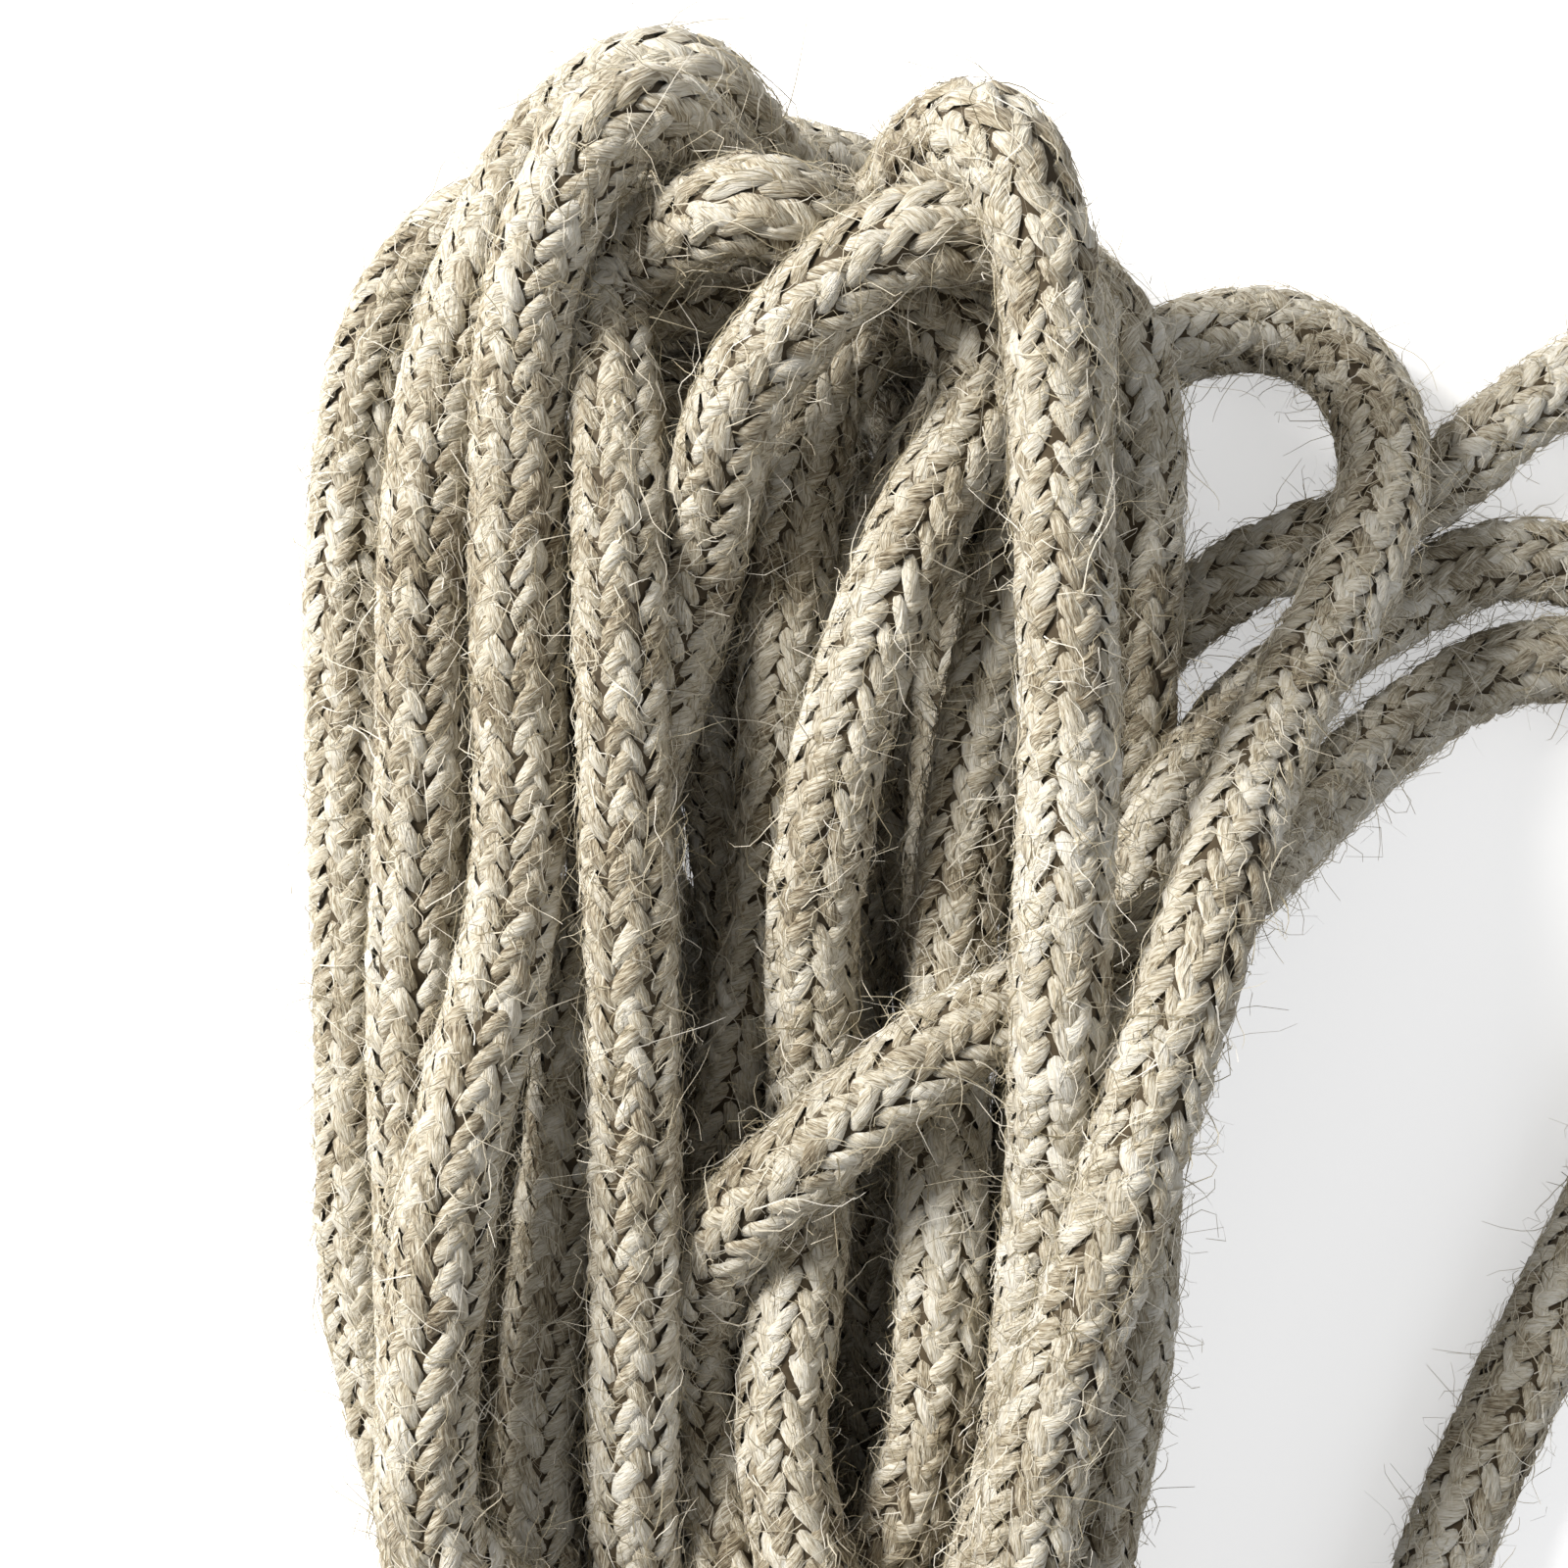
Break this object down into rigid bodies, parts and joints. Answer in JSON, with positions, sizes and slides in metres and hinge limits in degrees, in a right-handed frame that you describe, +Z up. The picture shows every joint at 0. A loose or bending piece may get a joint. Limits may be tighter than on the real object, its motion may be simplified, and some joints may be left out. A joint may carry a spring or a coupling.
{
  "type": "braided rope hank",
  "caption": "Loose hank of hairy braided jute rope, drawn in at the waist by a twine tie, with slack loops on one side and whipped ends.",
  "frame": {"origin": "middle of the hank's bounding box, on the surface it lies on", "axes": "+Y along the hank towards its open loops, +X towards its slack side loops, +Z up"},
  "size_m": [0.1351, 0.2622, 0.0493],
  "materials": {
    "jute_braid": "braided jute yarn, dry and hairy",
    "jute_twine": "twisted jute twine",
    "jute_core": "parallel jute yarns, cut across"
  },
  "bodies": {
    "root": {"rope_hank_lower": "jute_braid", "rope_hank_upper": "jute_braid", "start_tail": "jute_braid", "side_bight": "jute_braid", "loose_loop": "jute_braid", "crossing_strand": "jute_braid", "trailing_strand": "jute_braid", "tie_twine": "jute_twine", "whipping_start": "jute_twine", "whipping_end": "jute_twine", "core_start": "jute_core", "core_end": "jute_core"}
  },
  "joints": []
}
